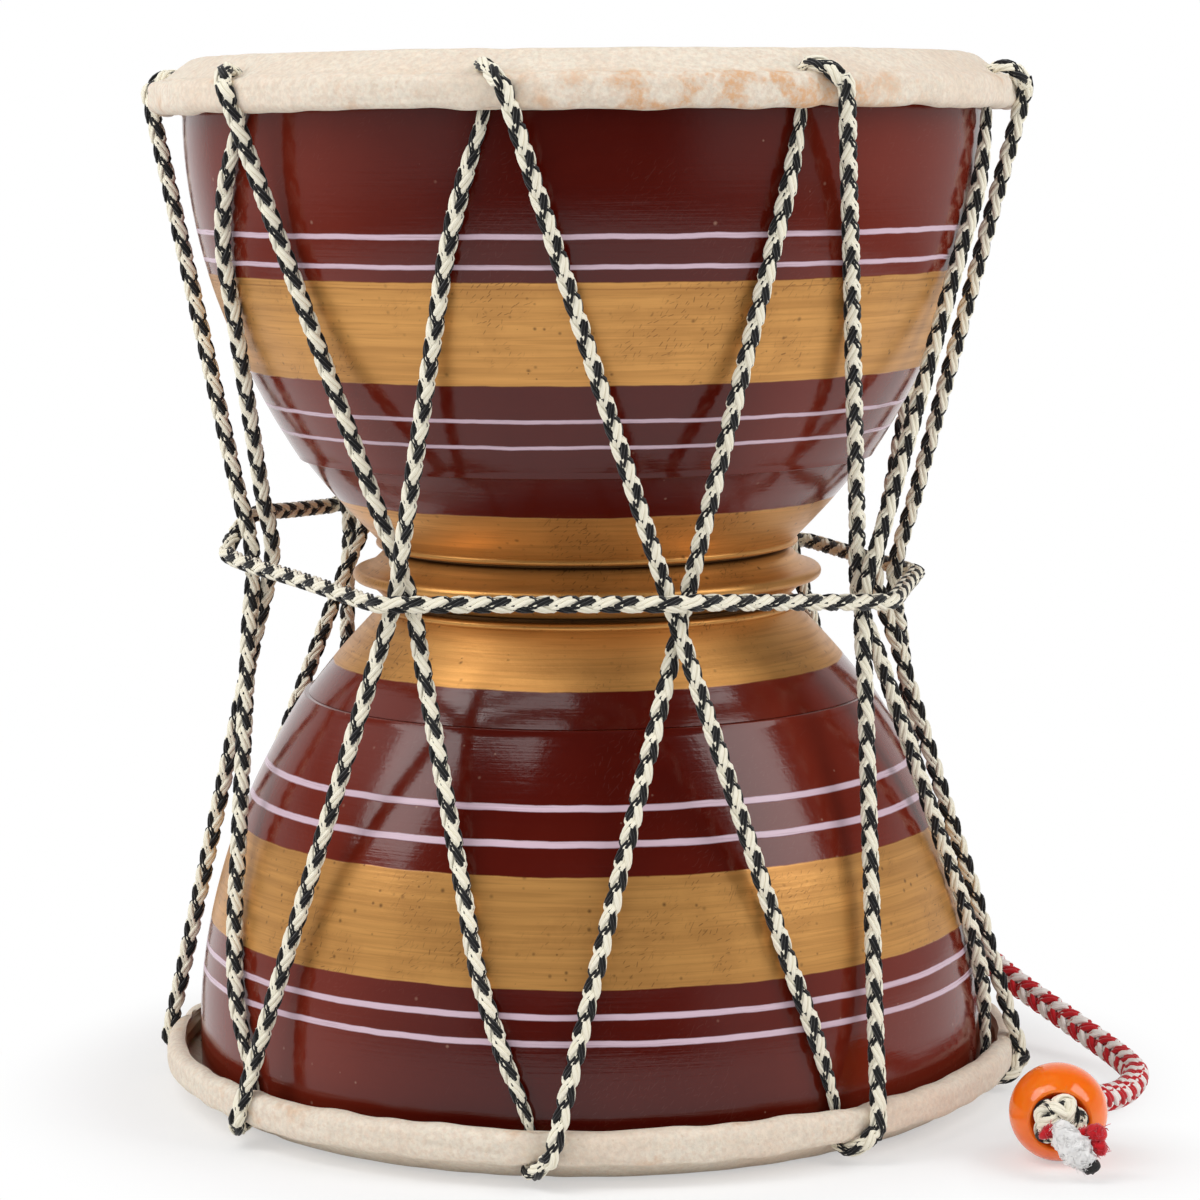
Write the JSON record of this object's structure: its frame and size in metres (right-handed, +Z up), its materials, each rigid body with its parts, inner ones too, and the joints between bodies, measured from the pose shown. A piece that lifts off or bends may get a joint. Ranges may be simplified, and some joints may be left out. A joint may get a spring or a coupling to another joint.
{
  "type": "damaru hand drum",
  "caption": "Hourglass hand drum with turned lacquered bowls, a gilt waist, laced hide heads and a beaded cord striker.",
  "frame": {"origin": "on the surface that the drum stands on, under the middle of the lower head", "axes": "+Z up along the drum's axis, +X to the right and -Y towards the front, where the bead lies to the right"},
  "size_m": [0.2079, 0.1846, 0.2135],
  "materials": {
    "maroon_lacquer": "glossy lacquer with painted bands",
    "gold_paint": "brushed gold paint",
    "goat_skin": "dry raw hide",
    "cane": "plain cane",
    "lace_braid": "black and cream cotton braid",
    "striker_braid": "red and white cotton braid",
    "bead_plastic": "polished translucent plastic",
    "white_cotton": "frayed cotton"
  },
  "bodies": {
    "drum": {"upper_bowl": "maroon_lacquer", "waist_spool": "gold_paint", "lower_bowl": "maroon_lacquer", "upper_hoop": "cane", "lower_hoop": "cane", "upper_skin": "goat_skin", "lower_skin": "goat_skin", "lacing_first_round": "lace_braid", "lacing_second_round": "lace_braid", "lacing_first_knot": "lace_braid", "lacing_second_knot": "lace_braid", "waist_cord": "lace_braid", "waist_cord_knot": "lace_braid"},
    "tie": {"striker_loop": "striker_braid"},
    "striker": {"striker_cord": "striker_braid", "stopper_knot": "lace_braid", "striker_tail": "white_cotton"},
    "bead": {"bead": "bead_plastic"}
  },
  "joints": [
    {"name": "striker_swing", "type": "hinge", "parent": "drum", "child": "tie", "pos_m": [0.02772, 0.06128, 0.10912], "axis": [0.9452, -0.314, -0.0898], "range_deg": [0, 130]},
    {"name": "striker_sway", "type": "hinge", "parent": "tie", "child": "striker", "pos_m": [0.02772, 0.06128, 0.10912], "axis": [0, 0, 1], "range_deg": [0, 100]},
    {"name": "bead_spin", "type": "hinge", "parent": "striker", "child": "bead", "pos_m": [0.0904, -0.069, 0.0095], "axis": [-0.0785, -0.9969, 0], "continuous": true}
  ]
}
